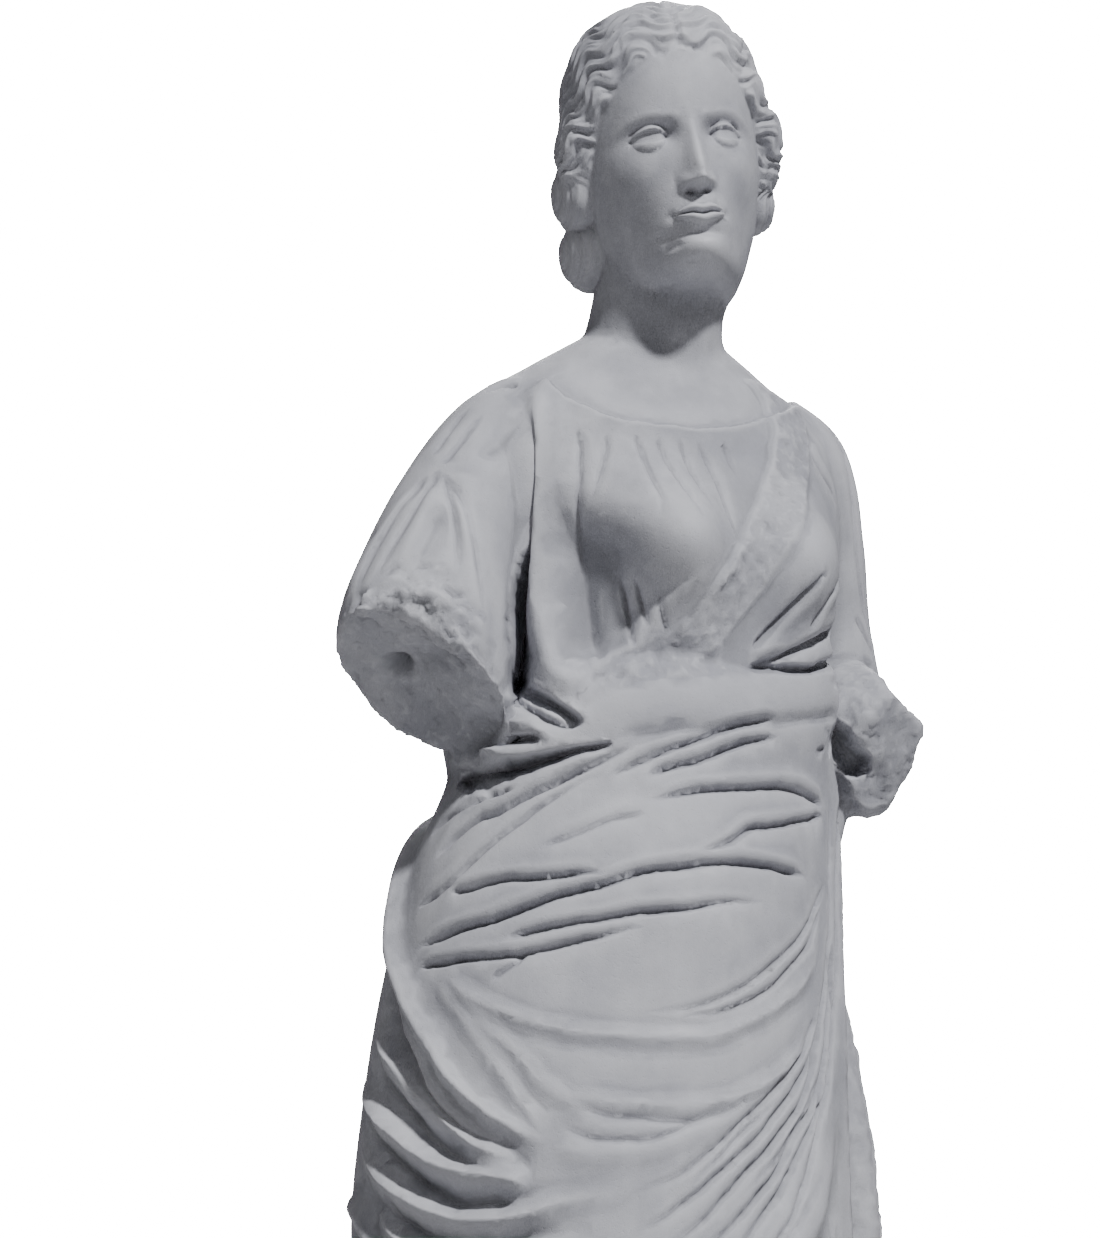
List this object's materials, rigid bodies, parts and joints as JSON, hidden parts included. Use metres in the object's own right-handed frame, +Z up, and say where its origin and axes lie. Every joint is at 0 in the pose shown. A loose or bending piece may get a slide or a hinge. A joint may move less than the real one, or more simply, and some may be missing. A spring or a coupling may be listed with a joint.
{
  "type": "classical marble statue",
  "caption": "Marble statue of a standing draped woman with broken arms, on a low plinth of its own.",
  "frame": {"origin": "centre of the plinth's underside", "axes": "+Z up, the figure's chest faces -Y, her left hand side is +X"},
  "size_m": [0.578, 0.47, 1.8948],
  "materials": {
    "figure_marble": "weathered cool grey-white marble, dull, with grey dirt in the folds",
    "plinth_marble": "tooled grey marble, dull, worn edges"
  },
  "bodies": {
    "root": {"figure": "figure_marble", "plinth": "plinth_marble"}
  },
  "joints": []
}
